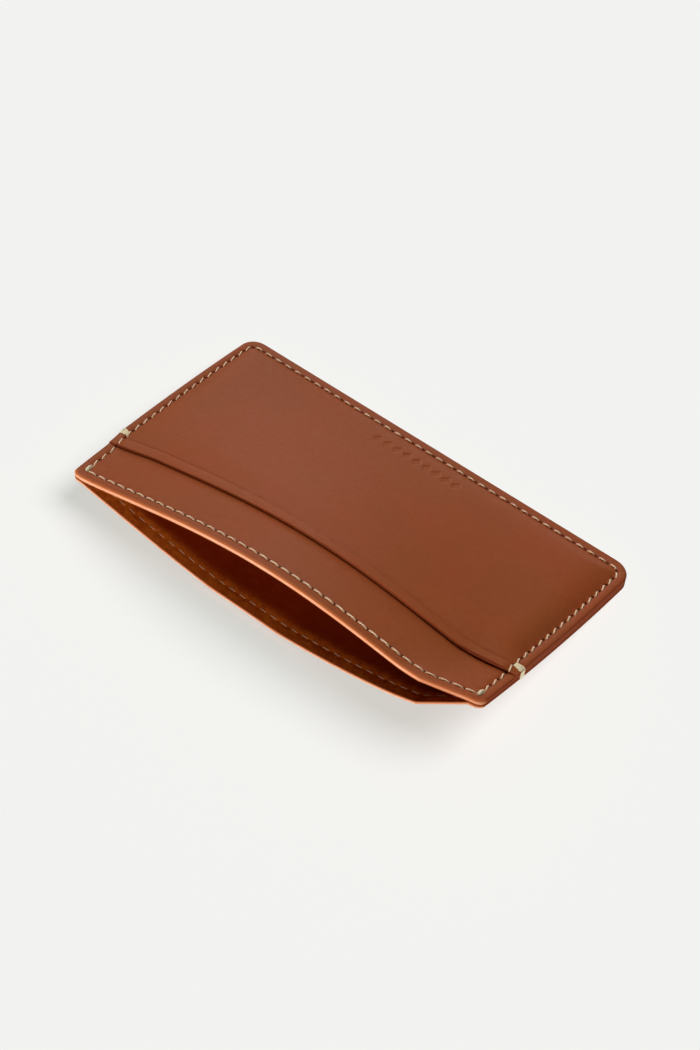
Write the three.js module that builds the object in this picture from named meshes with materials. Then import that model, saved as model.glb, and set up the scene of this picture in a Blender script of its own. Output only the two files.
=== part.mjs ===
// Slim leather card holder, sewn on three sides and lying open on its belly.
// Millimetres. +X runs along the mouth, +Y points to the sewn back edge, +Z is up.
// The origin is the middle of the footprint, on the surface that the holder rests on.

import * as THREE from 'three';

// ---- Driving dimensions -------------------------------------------------------------

const LENGTH = 103.5;           // outer length, along the mouth
const DEPTH = 59;               // outer depth, mouth to back edge
const SIDE_MARGIN = 2.0;        // side edge to side seam
const BACK_MARGIN = 2.3;        // back edge to back seam
const MOUTH_MARGIN = 2.5;       // mouth edge to its own row of stitches
const MOUTH_DRAW_IN = 0.5;      // how far each side is drawn in at the mouth

const BACK_RADIUS_LEFT = 3.6;
const BACK_RADIUS_RIGHT = 4.4;
const MOUTH_RADIUS = 1.4;
const SEAM_RADIUS = 2.0;        // the seam's own radius at the two back corners
const SEAM_HOLD = 0.8;          // the plies part company this far inside the side seams

const CHAMFER_LENGTH = 12.5;    // right mouth corner, cut back so that a card shows
const CHAMFER_DEPTH = 3.1;
const POCKET_SETBACK = 11.5;    // pocket edge behind the mouth edge
const POCKET_CHAMFER_DEPTH = 3.6;

const LEATHER = 0.7;            // back and front panels
const SUEDE = 0.3;              // linings
const POCKET_LEATHER = 1.0;
const PLY_GAP = 0.05;           // between glued plies
const POCKET_GAP = 0.12;        // between the front panel and the pocket panel

const NEEDLE_THREAD = 0.5;      // thread diameter on the outer, upper side
const BOBBIN_THREAD = 0.22;     // flatter thread on the under side
const STITCH = 2.8;             // stitch length
const THREAD_GAP = 0.12;        // thread to leather

const SEAM_RISE = 9.5;          // the sewn edge climbs this far from back to mouth
const LEFT_CURL = -3.0;         // and this much less at the left mouth corner
const RIGHT_CURL = 6.6;         // and this much more at the right one
const BELLY_FULLNESS = 1.04;    // above 1 leaves a flat strip to rest on
const BELLY_SKEW = 0.87;
const BELLY_END_POWER = 0.64;   // the right end of the belly drops away faster than a sine,
const BELLY_END_FROM = 0.45;    // between these shares of the seam span
const BELLY_END_TO = 0.9;
const LIP_LIFT = 0.6;           // the resting panel curls up at its mouth edge
const LIP_LENGTH = 9;
const FRONT_BOW = 6.0;          // front panel's rise at the mouth
const POCKET_BOW = 7.0;         // pocket panel's rise at its edge
const FRONT_BOW_END = 0.86;     // share of the seam span where each bow ends
const POCKET_BOW_END = 0.93;
const BOW_SKEW = 1.15;
const PILLOW = 1.8;             // how quickly the bow builds up in front of the back seam

// ---- Places worked out from them ----------------------------------------------------

const backY = DEPTH / 2;
const mouthY = -DEPTH / 2;
const rightX = LENGTH / 2;
const seamX = rightX - SIDE_MARGIN;
const foldX = seamX - SEAM_HOLD;
const backSeamY = backY - BACK_MARGIN;
const backFoldY = backSeamY - SEAM_HOLD;
const kinkX = rightX - CHAMFER_LENGTH;
const pocketY = mouthY + POCKET_SETBACK;

const backLiningBase = LEATHER + PLY_GAP;
const frontLiningBase = backLiningBase + SUEDE + PLY_GAP;
const frontBase = frontLiningBase + SUEDE + PLY_GAP;
const frontTop = frontBase + LEATHER;
const pocketBase = frontTop + POCKET_GAP;
const pocketTop = pocketBase + POCKET_LEATHER;

const clamp01 = (value) => Math.min(Math.max(value, 0), 1);
const smoothstep = (low, high, value) => {
  const share = clamp01((value - low) / (high - low));
  return share * share * (3 - 2 * share);
};
const alongSpan = (x) => clamp01((x + foldX) / (2 * foldX));
const towardMouth = (y) => (backY - y) / DEPTH;
const chamferShare = (x) => clamp01((x - kinkX) / CHAMFER_LENGTH);

// ---- Outlines, seen from above ------------------------------------------------------

// Distance that a rounded corner takes off the edge at x, for a corner of this radius at endX.
function cornerCut(x, endX, radius) {
  const inset = Math.abs(endX - x);
  if (inset >= radius) return 0;
  return radius - Math.sqrt(radius ** 2 - (radius - inset) ** 2);
}

function backEdge(x) {
  return backY - cornerCut(x, -rightX, BACK_RADIUS_LEFT) - cornerCut(x, rightX, BACK_RADIUS_RIGHT);
}

function mouthEdge(x) {
  const corners = cornerCut(x, -rightX, MOUTH_RADIUS) + cornerCut(x, rightX, MOUTH_RADIUS);
  return mouthY + CHAMFER_DEPTH * chamferShare(x) + corners;
}

function pocketEdge(x) {
  return pocketY + POCKET_CHAMFER_DEPTH * chamferShare(x);
}

// ---- Heights ------------------------------------------------------------------------

// Under side of the sewn stack, as it climbs and twists towards the mouth.
function stackHeight(x, y) {
  const t = towardMouth(y);
  const curl = LEFT_CURL + (RIGHT_CURL - LEFT_CURL) * alongSpan(x);
  return t * (SEAM_RISE + t * curl);
}

// Under side of the back panel, which hangs from the seams down to the surface.
function bellyHeight(x, y) {
  const span = alongSpan(x);
  const power = 1 - (1 - BELLY_END_POWER) * smoothstep(BELLY_END_FROM, BELLY_END_TO, span);
  const hang = clamp01(BELLY_FULLNESS * Math.sin(Math.PI * span ** BELLY_SKEW) ** power);
  const lip = clamp01(1 - (y - mouthY) / LIP_LENGTH) ** 2;
  return stackHeight(x, y) * (1 - hang) + LIP_LIFT * lip * hang;
}

function bow(x, y, rise, end) {
  const across = Math.sin(Math.PI * Math.min(alongSpan(x) / end, 1) ** BOW_SKEW);
  const t = clamp01((backFoldY - y) / (backFoldY - mouthY));
  return rise * across * (1 - (1 - t) ** PILLOW);
}

const pocketFullness = 1 - ((pocketY - mouthY) / (backFoldY - mouthY)) ** PILLOW;

function frontHeight(x, y) {
  return stackHeight(x, y) + bow(x, y, FRONT_BOW, FRONT_BOW_END);
}

function pocketHeight(x, y) {
  return stackHeight(x, y) + bow(x, y, POCKET_BOW / pocketFullness, POCKET_BOW_END);
}

// The opened mouth draws the two sides in a little.
function drawIn(x, y) {
  return x * (1 - MOUTH_DRAW_IN * towardMouth(y) ** 2 / rightX);
}

// ---- Solids -------------------------------------------------------------------------

const COLUMNS = 24;             // stations along X between the corners
const EVEN_ROWS = 6;
const RIM_STEP = 0.5;           // first station or row inside an edge
const STITCH_CLEAR = 3;         // a row this far behind the mouth's stitches

function solidFrom(points, triangles) {
  const geometry = new THREE.BufferGeometry();
  const flat = points.flatMap(([x, y, z]) => [drawIn(x, y), y, z]);
  geometry.setAttribute('position', new THREE.Float32BufferAttribute(flat, 3));
  geometry.setIndex(triangles);
  geometry.computeVertexNormals();
  return geometry;
}

// Stations along X: a few round each corner, one at the kink, evenly spaced between.
function stationsAlongX(count) {
  const left = [-rightX, -rightX + RIM_STEP, -foldX, BACK_RADIUS_LEFT - rightX];
  const right = [rightX - BACK_RADIUS_RIGHT, foldX, rightX - RIM_STEP, rightX];
  const from = left.at(-1);
  const to = right[0];
  const middle = [];
  for (let i = 1; i < count; i += 1) middle.push(from + ((to - from) * i) / count);
  const nearest = middle.reduce((best, x, i) => (
    Math.abs(x - kinkX) < Math.abs(middle[best] - kinkX) ? i : best), 0);
  middle[nearest] = kinkX;
  return [...left, ...middle, ...right];
}

// Rows from one edge to the back: closer behind the edge, where the stitches and the lip are,
// and one where the plies part company in front of the back seam.
function rowsBehind(edge, x) {
  const near = [0, MOUTH_MARGIN, MOUTH_MARGIN + STITCH_CLEAR].map((inset) => edge(x) + inset);
  const start = edge(x) + LIP_LENGTH;
  const fold = Math.min(backFoldY, backEdge(x) - RIM_STEP);
  const even = Array.from({ length: EVEN_ROWS + 1 }, (_, j) => (
    start + ((fold - start) * j) / EVEN_ROWS));
  return [...near, ...even, backEdge(x)];
}

// A ply of leather: a grid of stations and rows with an upper and a lower skin.
function ply(edge, heightOf, base, thickness) {
  const stations = stationsAlongX(COLUMNS);
  const points = [];
  for (const lift of [base, base + thickness]) {
    for (const x of stations) {
      for (const y of rowsBehind(edge, x)) points.push([x, y, heightOf(x, y) + lift]);
    }
  }
  const last = stations.length - 1;
  const rows = rowsBehind(edge, 0).length - 1;
  const skin = stations.length * (rows + 1);
  const lower = (i, j) => i * (rows + 1) + j;
  const upper = (i, j) => skin + lower(i, j);
  const triangles = [];
  const quad = (a, b, c, d) => triangles.push(a, b, c, a, c, d);
  for (let i = 0; i < last; i += 1) {
    for (let j = 0; j < rows; j += 1) {
      quad(upper(i, j), upper(i + 1, j), upper(i + 1, j + 1), upper(i, j + 1));
      quad(lower(i, j), lower(i, j + 1), lower(i + 1, j + 1), lower(i + 1, j));
    }
    quad(lower(i, 0), lower(i + 1, 0), upper(i + 1, 0), upper(i, 0));
    quad(lower(i + 1, rows), lower(i, rows), upper(i, rows), upper(i + 1, rows));
  }
  for (let j = 0; j < rows; j += 1) {
    quad(lower(0, j + 1), lower(0, j), upper(0, j), upper(0, j + 1));
    quad(lower(last, j), lower(last, j + 1), upper(last, j + 1), upper(last, j));
  }
  return solidFrom(points, triangles);
}

// A strand of square section that follows a list of points, flat side down.
function strand(path, diameter) {
  const half = diameter / 2;
  const corners = [[-half, -half], [half, -half], [half, half], [-half, half]];
  const points = [];
  path.forEach(([x, y, z], i) => {
    const before = path[Math.max(i - 1, 0)];
    const after = path[Math.min(i + 1, path.length - 1)];
    const run = new THREE.Vector2(after[0] - before[0], after[1] - before[1]).normalize();
    for (const [side, up] of corners) points.push([x + run.y * side, y - run.x * side, z + up]);
  });
  const triangles = [];
  for (let i = 0; i < path.length - 1; i += 1) {
    for (let k = 0; k < 4; k += 1) {
      const a = i * 4 + k;
      const b = i * 4 + ((k + 1) % 4);
      triangles.push(a, b + 4, b, a, a + 4, b + 4);
    }
  }
  const end = (path.length - 1) * 4;
  triangles.push(0, 1, 2, 0, 2, 3, end, end + 2, end + 1, end, end + 3, end + 2);
  return solidFrom(points, triangles);
}

// ---- Seam routes, seen from above ---------------------------------------------------

const SEAM_START = 3.9;         // the side rows start this far behind the mouth edge
const OUTER_ROW_END = 1.8;      // the mouth rows end this far inside the side seams
const INNER_ROW_END = 4.2;      // and where the linings have parted, on the inner side
const STEP_UP_CLEAR = 0.6;      // the side rows step up this far in front of the pocket's edge
const STEP_UP_LENGTH = 0.7;

function straight([x0, y0], [x1, y1], pitch = STITCH) {
  const count = Math.max(Math.round(Math.hypot(x1 - x0, y1 - y0) / pitch), 1);
  return Array.from({ length: count + 1 }, (_, i) => [
    x0 + ((x1 - x0) * i) / count, y0 + ((y1 - y0) * i) / count]);
}

function backCorner(side) {
  const steps = [0, 0.25, 0.5, 0.75, 1].map((share) => (share * Math.PI) / 2);
  const turn = steps.map((angle) => [
    side * (seamX - SEAM_RADIUS + SEAM_RADIUS * Math.cos(angle)),
    backSeamY - SEAM_RADIUS + SEAM_RADIUS * Math.sin(angle)]);
  return side < 0 ? turn : turn.reverse();
}

function perimeterRoute() {
  const turn = backSeamY - SEAM_RADIUS;
  const left = straight([-seamX, mouthY + SEAM_START], [-seamX, turn]);
  const right = straight([seamX, turn], [seamX, mouthEdge(seamX) + SEAM_START]);
  const back = straight([-seamX + SEAM_RADIUS, backSeamY], [seamX - SEAM_RADIUS, backSeamY]);
  return [...left.slice(0, -1), ...backCorner(-1), ...back.slice(1, -1), ...backCorner(1),
    ...right.slice(1)];
}

function mouthRoute(fromSeam) {
  const end = seamX - fromSeam;
  const row = (x) => mouthY + MOUTH_MARGIN + CHAMFER_DEPTH * chamferShare(x);
  return [...straight([-end, row(-end)], [kinkX, row(kinkX)]),
    ...straight([kinkX, row(kinkX)], [end, row(end)]).slice(1)];
}

// The perimeter thread steps up on to the pocket panel just in front of its edge.
function perimeterTopPath() {
  const lift = NEEDLE_THREAD / 2 + THREAD_GAP;
  const path = [];
  const low = (x, y) => [x, y, stackHeight(x, y) + frontTop + lift];
  const high = (x, y) => [x, y, stackHeight(x, y) + pocketTop + lift];
  const isHigh = ([x, y]) => y > pocketEdge(x) - STEP_UP_CLEAR;
  const route = perimeterRoute();
  route.forEach(([x, y], i) => {
    const step = [x, pocketEdge(x) - STEP_UP_CLEAR];
    if (i > 0 && isHigh([x, y]) !== isHigh(route[i - 1])) {
      const climb = [low(step[0], step[1] - STEP_UP_LENGTH), high(...step)];
      path.push(...(isHigh([x, y]) ? climb : climb.reverse()));
    }
    path.push(isHigh([x, y]) ? high(x, y) : low(x, y));
  });
  return path;
}

function pathOn(route, heightOf, lift) {
  return route.map(([x, y]) => [x, y, heightOf(x, y) + lift]);
}

// ---- Tacks --------------------------------------------------------------------------

const TACK_WIDTH = 1.7;
const TACK_THREAD = 0.4;
const TACK_SIDE_GAP = 0.22;     // pocket tack to the side edge and to the side row
const TACK_BEHIND_EDGE = { left: 3.8, right: 2.7 };   // its middle, behind the pocket's edge
const MOUTH_TACK_LENGTH = 2.0;
const MOUTH_TACK_WIDTH = 0.9;

// A C of thread that wraps the side edge at the end of the pocket's edge.
function pocketTack(side, word) {
  const inner = seamX + NEEDLE_THREAD / 2 + TACK_SIDE_GAP;
  const outer = rightX + TACK_SIDE_GAP;
  const first = pocketEdge(side * seamX) + TACK_BEHIND_EDGE[word] - TACK_WIDTH / 2;
  const low = -THREAD_GAP;
  const high = pocketTop + THREAD_GAP;
  const profile = [
    [inner, high], [outer, high], [outer, low], [inner, low], [inner, low - TACK_THREAD],
    [outer + TACK_THREAD, low - TACK_THREAD], [outer + TACK_THREAD, high + TACK_THREAD],
    [inner, high + TACK_THREAD]];
  const points = [];
  for (const y of [first, first + TACK_WIDTH]) {
    for (const [x, z] of profile) points.push([side * x, y, stackHeight(side * x, y) + z]);
  }
  const faces = [[0, 1, 6], [0, 6, 7], [1, 2, 5], [1, 5, 6], [2, 3, 4], [2, 4, 5]];
  const triangles = [];
  const n = profile.length;
  for (const [a, b, c] of faces) triangles.push(a, b, c, a + n, c + n, b + n);
  for (let k = 0; k < n; k += 1) {
    const next = (k + 1) % n;
    triangles.push(k, next + n, next, k, k + n, next + n);
  }
  if (side < 0) triangles.reverse();
  return solidFrom(points, triangles);
}

// A short bar of doubled stitches where a side row meets the mouth row.
function mouthTack(side) {
  const x = side * seamX;
  const from = mouthEdge(x) + MOUTH_MARGIN - MOUTH_TACK_LENGTH / 2;
  const route = straight([x, from], [x, from + MOUTH_TACK_LENGTH], MOUTH_TACK_LENGTH / 2);
  const lift = frontTop + THREAD_GAP + MOUTH_TACK_WIDTH / 2;
  return strand(pathOn(route, stackHeight, lift), MOUTH_TACK_WIDTH);
}

// ---- Materials ----------------------------------------------------------------------

const material = (color, roughness) => new THREE.MeshStandardMaterial({
  color, roughness, metalness: 0 });

const tanLeather = () => material('#8c4c2f', 0.5);
const suede = () => material('#5e3013', 0.95);
const creamThread = () => material('#d3b08e', 0.7);

// ---- Assembly -----------------------------------------------------------------------

const cardHolder = new THREE.Group();

function add(name, geometry, finish) {
  const mesh = new THREE.Mesh(geometry, finish);
  mesh.name = name;
  cardHolder.add(mesh);
}

add('back_panel', ply(mouthEdge, bellyHeight, 0, LEATHER), tanLeather());
add('back_lining', ply(mouthEdge, bellyHeight, backLiningBase, SUEDE), suede());
add('front_lining', ply(mouthEdge, frontHeight, frontLiningBase, SUEDE), suede());
add('front_panel', ply(mouthEdge, frontHeight, frontBase, LEATHER), tanLeather());
add('pocket_panel', ply(pocketEdge, pocketHeight, pocketBase, POCKET_LEATHER), tanLeather());

const perimeterUnder = pathOn(perimeterRoute(), bellyHeight, -THREAD_GAP - BOBBIN_THREAD / 2);
add('perimeter_needle_thread', strand(perimeterTopPath(), NEEDLE_THREAD), creamThread());
add('perimeter_bobbin_thread', strand(perimeterUnder, BOBBIN_THREAD), creamThread());

const frontRowTop = frontTop + THREAD_GAP + NEEDLE_THREAD / 2;
const frontRowUnder = frontLiningBase - THREAD_GAP - BOBBIN_THREAD / 2;
const backRowTop = backLiningBase + SUEDE + THREAD_GAP + BOBBIN_THREAD / 2;
const backRowUnder = -THREAD_GAP - BOBBIN_THREAD / 2;
add('front_mouth_needle_thread',
  strand(pathOn(mouthRoute(OUTER_ROW_END), frontHeight, frontRowTop), NEEDLE_THREAD), creamThread());
add('front_mouth_bobbin_thread',
  strand(pathOn(mouthRoute(INNER_ROW_END), frontHeight, frontRowUnder), BOBBIN_THREAD), creamThread());
add('back_mouth_bobbin_thread',
  strand(pathOn(mouthRoute(INNER_ROW_END), bellyHeight, backRowTop), BOBBIN_THREAD), creamThread());
add('back_mouth_needle_thread',
  strand(pathOn(mouthRoute(OUTER_ROW_END), bellyHeight, backRowUnder), BOBBIN_THREAD), creamThread());

for (const [word, side] of [['left', -1], ['right', 1]]) {
  add(`pocket_tack_${word}`, pocketTack(side, word), creamThread());
  add(`mouth_tack_${word}`, mouthTack(side), creamThread());
}

export default cardHolder;
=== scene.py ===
"""Looks of the slim leather card holder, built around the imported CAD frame.

Every ply is a closed, rounded sheet with its own relief, every stitch is a twisted tube of its
own, and every finish is procedural. Shapes are worked out in millimetres and stored in metres.
"""

import math

import bpy
import numpy as np
from mathutils import Matrix, Vector


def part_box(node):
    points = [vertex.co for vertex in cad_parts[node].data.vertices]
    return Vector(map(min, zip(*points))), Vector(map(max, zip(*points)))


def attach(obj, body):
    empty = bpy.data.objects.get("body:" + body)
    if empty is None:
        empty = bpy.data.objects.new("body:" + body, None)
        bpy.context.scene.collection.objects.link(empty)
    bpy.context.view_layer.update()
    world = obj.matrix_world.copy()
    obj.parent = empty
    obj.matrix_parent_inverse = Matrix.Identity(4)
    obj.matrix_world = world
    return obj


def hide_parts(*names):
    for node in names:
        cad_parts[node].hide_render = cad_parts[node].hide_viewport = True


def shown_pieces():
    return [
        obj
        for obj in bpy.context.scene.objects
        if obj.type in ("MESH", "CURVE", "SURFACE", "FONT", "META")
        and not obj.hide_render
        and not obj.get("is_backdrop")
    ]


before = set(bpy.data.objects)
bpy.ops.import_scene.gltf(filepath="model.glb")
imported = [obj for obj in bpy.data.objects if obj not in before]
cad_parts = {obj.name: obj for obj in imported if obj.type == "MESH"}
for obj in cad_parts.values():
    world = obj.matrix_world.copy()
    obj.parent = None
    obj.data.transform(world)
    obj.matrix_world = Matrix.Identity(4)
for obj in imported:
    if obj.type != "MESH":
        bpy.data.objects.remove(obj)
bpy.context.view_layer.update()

MM = 0.001


def cad_box(node):
    """Lowest and highest corner of a CAD node, in millimetres."""
    low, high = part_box(node)
    return np.array(low) / MM, np.array(high) / MM


# ---- Driving dimensions, in millimetres -----------------------------------------------

panel_low, panel_high = cad_box("back_panel")
pocket_low, _ = cad_box("pocket_panel")

RIGHT_X = panel_high[0]
MOUTH_Y = panel_low[1]
BACK_Y = panel_high[1]
POCKET_Y = pocket_low[1]
DEPTH = BACK_Y - MOUTH_Y

SIDE_MARGIN = 2.0           # edge to seam: sides, back and mouth
BACK_MARGIN = 2.3
MOUTH_MARGIN = 2.5
SEAM_RADIUS = 2.0
SEAM_HOLD = 0.8             # the plies part company this far inside the seams
SEAM_START = 3.9            # the side rows start this far behind the mouth edge
MOUTH_ROW_END = 0.2         # and the mouth rows end this far inside the side seams
MOUTH_DRAW_IN = 0.5

BACK_RADIUS_LEFT = 3.6
BACK_RADIUS_RIGHT = 4.4
MOUTH_RADIUS = 1.4
CHAMFER_LENGTH = 12.5       # right mouth corner
CHAMFER_DEPTH = 3.1
POCKET_CHAMFER_DEPTH = 3.6
POCKET_DRAW_BACK = 1.1      # the pocket's edge lies this much further back, away from its ends

LEATHER = 0.7               # ply thicknesses, from the resting face up
SUEDE = 0.3
POCKET_LEATHER = 1.0
PLY_GAP = 0.05
POCKET_GAP = 0.12
GLUE_LINE = 0.003           # what is left of those gaps in the finished, pressed edge

SEAM_RISE = 9.5             # heights, as the CAD part has them
LEFT_CURL = -3.0
RIGHT_CURL = 6.6
BELLY_FULLNESS = 1.04
BELLY_SKEW = 0.87
BELLY_END_POWER = 0.64      # the belly's right end hangs fuller than a sine,
BELLY_END_FROM = 0.45       # from here on, as shares of the span
BELLY_END_TO = 0.9
HANG_AT_KINK = 0.45         # its lip is straight from the kink to the right corner
LIP_LIFT = 0.6
LIP_LENGTH = 9.0
FRONT_BOW = 6.0
POCKET_BOW = 7.0
FRONT_BOW_END = 0.86
POCKET_BOW_END = 0.93
BOW_SKEW = 1.15
PILLOW = 1.8
PUFF = 0.9                  # swelling inside the side and back seams
PUFF_REACH = 2.0
PUFF_CORNER = 3.0
PUFF_FADE = 9.0
RIGHT_HUMP = 1.1            # a broader swelling inside the right seam
RIGHT_HUMP_REACH = 6.5
RIGHT_HUMP_START = 3.0      # how soon it reaches its height, going forward from the back seam
SIDE_EASE = 0.5             # how softly the leather leaves the side seams,
BACK_EASE = 1.2             # the back seam,
BOW_EASE = 0.03             # and, as a share of the span, the end of each bow
BACK_SEAM_EASE = 1.4        # the bows start from nothing over this much, inside the back seam
POCKET_CONTACT = 0.9        # how nearly the front panel meets the pocket at its edge

SIDE_STITCH = 2.65          # stitch lengths
STITCH = 2.8
NEEDLE_THREAD = 0.41        # thread diameters
BACK_THREAD = 0.47          # the back row's thread looks fuller, pulled in less
MOUTH_THREAD = 0.40
BOBBIN_THREAD = 0.20

SEAM_X = RIGHT_X - SIDE_MARGIN
FOLD_X = SEAM_X - SEAM_HOLD
BACK_SEAM_Y = BACK_Y - BACK_MARGIN
BACK_FOLD_Y = BACK_SEAM_Y - SEAM_HOLD
KINK_X = RIGHT_X - CHAMFER_LENGTH

BACK_LINING_BASE = LEATHER + PLY_GAP
FRONT_LINING_BASE = BACK_LINING_BASE + SUEDE + PLY_GAP
FRONT_BASE = FRONT_LINING_BASE + SUEDE + PLY_GAP
POCKET_BASE = FRONT_BASE + LEATHER + POCKET_GAP
FRONT_TOP = POCKET_BASE - GLUE_LINE
POCKET_TOP = POCKET_BASE + POCKET_LEATHER


# ---- Small curves ---------------------------------------------------------------------

def clamp01(value):
    return np.clip(value, 0.0, 1.0)


def smoothstep(low, high, value):
    share = clamp01((value - low) / (high - low))
    return share * share * (3 - 2 * share)


def ease(value, width):
    """value where it is well above 0, 0 where it is well below, and a smooth turn between."""
    return (value + np.sqrt(value * value + width * width)) / 2


def ridge(distance, width):
    """1 on a line, falling smoothly to 0 either side of it."""
    return np.exp(-(distance / width) ** 2)


# ---- Outlines, seen from above --------------------------------------------------------

def chamfer_share(x):
    return clamp01((x - KINK_X) / CHAMFER_LENGTH)


def corner_cut(x, end_x, radius):
    inset = np.minimum(np.abs(end_x - x), radius)
    return radius - np.sqrt(radius ** 2 - (radius - inset) ** 2)


def back_edge(x):
    cuts = corner_cut(x, -RIGHT_X, BACK_RADIUS_LEFT) + corner_cut(x, RIGHT_X, BACK_RADIUS_RIGHT)
    return BACK_Y - cuts


def mouth_edge(x):
    cuts = corner_cut(x, -RIGHT_X, MOUTH_RADIUS) + corner_cut(x, RIGHT_X, MOUTH_RADIUS)
    return MOUTH_Y + CHAMFER_DEPTH * chamfer_share(x) + cuts


def pocket_edge(x):
    """Straight with a chamfered corner, but the bow draws its middle back."""
    drawn_back = POCKET_DRAW_BACK * clamp01(3 * np.sin(math.pi * clamp01(0.5 + x / (2 * RIGHT_X))))
    return POCKET_Y + POCKET_CHAMFER_DEPTH * chamfer_share(x) + drawn_back * (1 - chamfer_share(x))


def draw_in(x, y):
    """The opened mouth draws the two sides in a little."""
    return x * (1 - MOUTH_DRAW_IN * ((BACK_Y - y) / DEPTH) ** 2 / RIGHT_X)


def quarter_turn(centre, radius, start, steps=8):
    """Points on a clockwise quarter circle, from the angle start."""
    angles = start - np.linspace(0, math.pi / 2, steps + 1)
    return [(centre[0] + radius * math.cos(a), centre[1] + radius * math.sin(a)) for a in angles]


# ---- Heights --------------------------------------------------------------------------

def along_span(x):
    left = ease(x + FOLD_X, SIDE_EASE)
    right = ease(FOLD_X - x, SIDE_EASE)
    return left / (left + right)


def stack_height(x, y):
    """Under side of the sewn stack, as it climbs and twists towards the mouth."""
    t = (BACK_Y - y) / DEPTH
    curl = LEFT_CURL + (RIGHT_CURL - LEFT_CURL) * along_span(x)
    return t * (SEAM_RISE + t * curl)


def belly_height(x, y):
    """Under side of the back panel, hanging from the seams to the surface it rests on."""
    span = along_span(x)
    power = 1 - (1 - BELLY_END_POWER) * smoothstep(BELLY_END_FROM, BELLY_END_TO, span)
    hang = clamp01(BELLY_FULLNESS * np.sin(math.pi * span ** BELLY_SKEW) ** power)
    straight = HANG_AT_KINK * clamp01((FOLD_X - x) / (FOLD_X - KINK_X))
    at_lip = smoothstep(LIP_LENGTH, 0, y - MOUTH_Y) * smoothstep(KINK_X - 0.5, KINK_X + 0.5, x)
    hang = hang + (straight - hang) * at_lip
    hang = hang * smoothstep(-0.2, 1.2, np.minimum(SEAM_X - np.abs(x), BACK_SEAM_Y - y))
    lip = clamp01(1 - (y - MOUTH_Y) / LIP_LENGTH) ** 2
    return stack_height(x, y) * (1 - hang) + LIP_LIFT * lip * hang


def bow(x, y, rise, end):
    short_of_end = ease(1 - along_span(x) / end, BOW_EASE)
    across = np.sin(math.pi * clamp01(1 - short_of_end) ** BOW_SKEW)
    t = clamp01(ease(BACK_FOLD_Y - y, BACK_EASE) / (BACK_FOLD_Y - MOUTH_Y))
    return rise * across * (1 - (1 - t) ** PILLOW)


POCKET_FULLNESS = 1 - ((POCKET_Y - MOUTH_Y) / (BACK_FOLD_Y - MOUTH_Y)) ** PILLOW


def puff(x, y):
    """The plies swell up just inside the side and back seams, behind the pocket's edge."""
    from_sides = ease(FOLD_X - np.abs(x), SIDE_EASE)
    from_back = ease(BACK_FOLD_Y - y, SIDE_EASE)
    inside = (from_sides ** -PUFF_CORNER + from_back ** -PUFF_CORNER) ** (-1 / PUFF_CORNER)
    behind = smoothstep(0, PUFF_FADE, y - pocket_edge(x))
    from_right = ease(FOLD_X - x, SIDE_EASE) / RIGHT_HUMP_REACH
    hump = RIGHT_HUMP * from_right * np.exp(1 - from_right) * (1 - np.exp(-from_back / RIGHT_HUMP_START))
    return (PUFF * (1 - np.exp(-inside / PUFF_REACH)) + hump) * behind


def swelling(x, y, rise, end):
    """Rise above the sewn stack: nothing outside the back seam, where the plies are pressed."""
    unsewn = smoothstep(0, BACK_SEAM_EASE, BACK_SEAM_Y - y)
    return (bow(x, y, rise, end) + puff(x, y)) * unsewn


def pocket_height(x, y):
    return stack_height(x, y) + swelling(x, y, POCKET_BOW / POCKET_FULLNESS, POCKET_BOW_END)


def front_height(x, y):
    """The front panel bows less at the mouth, and lies against the pocket at the pocket's edge."""
    own = stack_height(x, y) + swelling(x, y, FRONT_BOW, FRONT_BOW_END)
    together = POCKET_CONTACT * smoothstep(0, POCKET_Y - MOUTH_Y, y - mouth_edge(x))
    return own + (pocket_height(x, y) - own) * together


# ---- Seam routes ----------------------------------------------------------------------

def perimeter_route():
    """From the left mouth corner round the back to the right one."""
    turn_x = SEAM_X - SEAM_RADIUS
    turn_y = BACK_SEAM_Y - SEAM_RADIUS
    return np.array([
        (-SEAM_X, MOUTH_Y + SEAM_START),
        *quarter_turn((-turn_x, turn_y), SEAM_RADIUS, math.pi),
        *quarter_turn((turn_x, turn_y), SEAM_RADIUS, math.pi / 2),
        (SEAM_X, float(mouth_edge(SEAM_X)) + SEAM_START)])


def mouth_route():
    end = SEAM_X - MOUTH_ROW_END

    def row(x):
        return (x, MOUTH_Y + MOUTH_MARGIN + CHAMFER_DEPTH * float(chamfer_share(x)))

    return np.array([row(-end), row(KINK_X), row(end)])


def arc_lengths(route):
    return np.concatenate([[0], np.cumsum(np.linalg.norm(np.diff(route, axis=0), axis=1))])


def even_marks(start, end, pitch):
    return np.linspace(start, end, int(round((end - start) / pitch)) + 1)


def perimeter_marks(route):
    """Where the needle goes through: side rows are sewn a little shorter than the back row."""
    total = arc_lengths(route)[-1]
    corner = SEAM_RADIUS * math.pi / 4
    left = BACK_SEAM_Y - SEAM_RADIUS - route[0][1] + corner
    right = total - (BACK_SEAM_Y - SEAM_RADIUS - route[-1][1] + corner)
    parts = [(0, left, SIDE_STITCH), (left, right, STITCH), (right, total, SIDE_STITCH)]
    marks = [even_marks(*part)[:-1] for part in parts]
    return np.concatenate([*marks, [total]])


def nearest_on(route, points):
    """For each point: signed distance to the route (left of it is positive), and arc length."""
    best = np.full(len(points), np.inf)
    signed = np.zeros(len(points))
    along = np.zeros(len(points))
    reach = arc_lengths(route)
    for start, end, before in zip(route[:-1], route[1:], reach):
        step = end - start
        length = np.linalg.norm(step)
        offset = points - start
        share = clamp01(offset @ step / length ** 2)
        gap = offset - share[:, None] * step
        distance = np.hypot(gap[:, 0], gap[:, 1])
        side = np.sign(step[0] * offset[:, 1] - step[1] * offset[:, 0])
        closer = distance < best
        best = np.where(closer, distance, best)
        signed = np.where(closer, distance * side, signed)
        along = np.where(closer, before + share * length, along)
    return signed, along


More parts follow.
